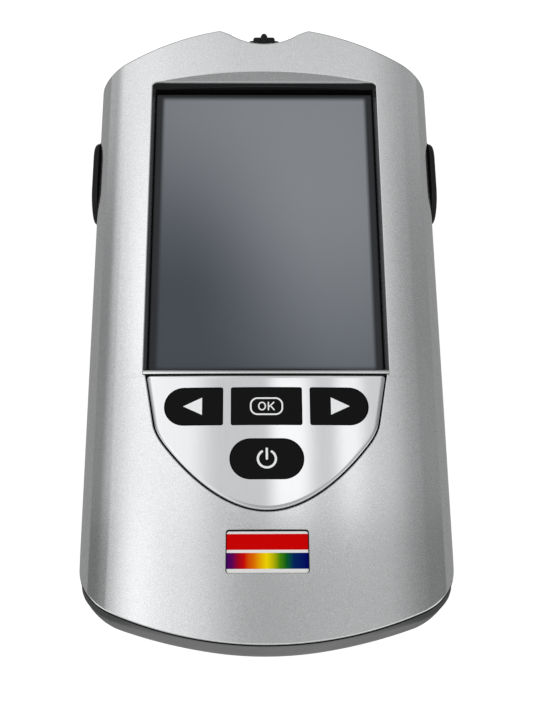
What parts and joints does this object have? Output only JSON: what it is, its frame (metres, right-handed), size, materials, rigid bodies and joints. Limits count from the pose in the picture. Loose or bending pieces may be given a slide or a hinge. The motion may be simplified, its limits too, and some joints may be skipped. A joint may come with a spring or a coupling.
{
  "type": "creatinine meter",
  "caption": "Handheld creatinine meter with a colour display, a key panel, side scan buttons, a test strip port in a notch and a battery cover on its back.",
  "frame": {"origin": "middle of the ground under the meter as it lies on its four feet", "axes": "+X across to the right seen from the front, +Y towards the strip port, +Z out of the display face"},
  "size_m": [0.0864, 0.1532, 0.046],
  "materials": {
    "silver_paint": "satin silver paint on moulded plastic",
    "grey_plastic": "satin grey plastic",
    "black_plastic": "satin black plastic",
    "key_black": "smooth black keys with silver legends",
    "black_rubber": "soft black rubber",
    "gloss_silver": "polished metallic silver",
    "screen_glass": "smooth dark touch glass",
    "display_grey": "grey display at rest",
    "steel": "bright steel",
    "gold": "gold plate",
    "board_green": "green solder mask",
    "chip_black": "moulded component black",
    "mat_grey": "grey silicone rubber",
    "label_print": "printed film under a clear coat",
    "pack_blue": "dark blue film over metal cells",
    "flex_amber": "amber ribbon",
    "reader_red": "dark red smooth window"
  },
  "bodies": {
    "housing": {"front_shell": "silver_paint", "rear_shell": "grey_plastic", "label_plate": "label_print", "display_bezel": "black_plastic", "touch_screen": "screen_glass", "lcd_panel": "display_grey", "lcd_frame": "steel", "display_flex": "flex_amber", "keypad_fascia": "gloss_silver", "keypad_mat": "mat_grey", "keypad_domes": "steel", "keypad_board": "board_green", "keypad_screw_1": "steel", "keypad_screw_2": "steel", "keypad_header": "chip_black", "scan_switch_left": "chip_black", "scan_switch_right": "chip_black", "main_board": "board_green", "board_screw_1": "steel", "board_screw_2": "steel", "board_screw_3": "steel", "board_screw_4": "steel", "processor_shield": "steel", "radio_module": "chip_black", "sounder": "chip_black", "strip_port": "black_plastic", "strip_connector": "chip_black", "strip_contacts": "gold", "scan_window": "reader_red", "scan_engine": "chip_black", "battery_pack": "pack_blue", "battery_connector": "chip_black", "dock_connector": "black_plastic", "dock_contacts": "gold", "case_screw_1": "steel", "case_screw_2": "steel", "case_screw_3": "steel", "case_screw_4": "steel", "foot_1": "black_rubber", "foot_2": "black_rubber", "foot_3": "black_rubber", "foot_4": "black_rubber"},
    "left_key": {"key_left": "key_black"},
    "ok_key": {"key_ok": "key_black"},
    "right_key": {"key_right": "key_black"},
    "power_key": {"key_power": "key_black"},
    "left_scan_button": {"scan_button_left": "black_rubber"},
    "right_scan_button": {"scan_button_right": "black_rubber"},
    "battery_door": {"battery_cover": "grey_plastic"},
    "door_latch": {"battery_latch": "black_plastic"}
  },
  "joints": [
    {"name": "left_key_press", "type": "slide", "parent": "housing", "child": "left_key", "axis": [0, 0, -1], "range_m": [0, 0.0004], "stiffness_N_per_m": 2500, "springref_m": -0.0002},
    {"name": "ok_key_press", "type": "slide", "parent": "housing", "child": "ok_key", "axis": [0, 0, -1], "range_m": [0, 0.0004], "stiffness_N_per_m": 2500, "springref_m": -0.0002},
    {"name": "right_key_press", "type": "slide", "parent": "housing", "child": "right_key", "axis": [0, 0, -1], "range_m": [0, 0.0004], "stiffness_N_per_m": 2500, "springref_m": -0.0002},
    {"name": "power_key_press", "type": "slide", "parent": "housing", "child": "power_key", "axis": [0, 0, -1], "range_m": [0, 0.0004], "stiffness_N_per_m": 2500, "springref_m": -0.0002},
    {"name": "left_scan_press", "type": "slide", "parent": "housing", "child": "left_scan_button", "axis": [1, 0, 0], "range_m": [0, 0.0008], "stiffness_N_per_m": 1500, "springref_m": -0.0002},
    {"name": "right_scan_press", "type": "slide", "parent": "housing", "child": "right_scan_button", "axis": [-1, 0, 0], "range_m": [0, 0.0008], "stiffness_N_per_m": 1500, "springref_m": -0.0002},
    {"name": "battery_door_swing", "type": "hinge", "parent": "housing", "child": "battery_door", "pos_m": [0, -0.041, 0.0008], "axis": [1, 0, 0], "range_deg": [-35, 0]},
    {"name": "door_latch_slide", "type": "slide", "parent": "battery_door", "child": "door_latch", "axis": [0, -1, 0], "range_m": [0, 0.002], "stiffness_N_per_m": 400, "springref_m": -0.0005}
  ]
}
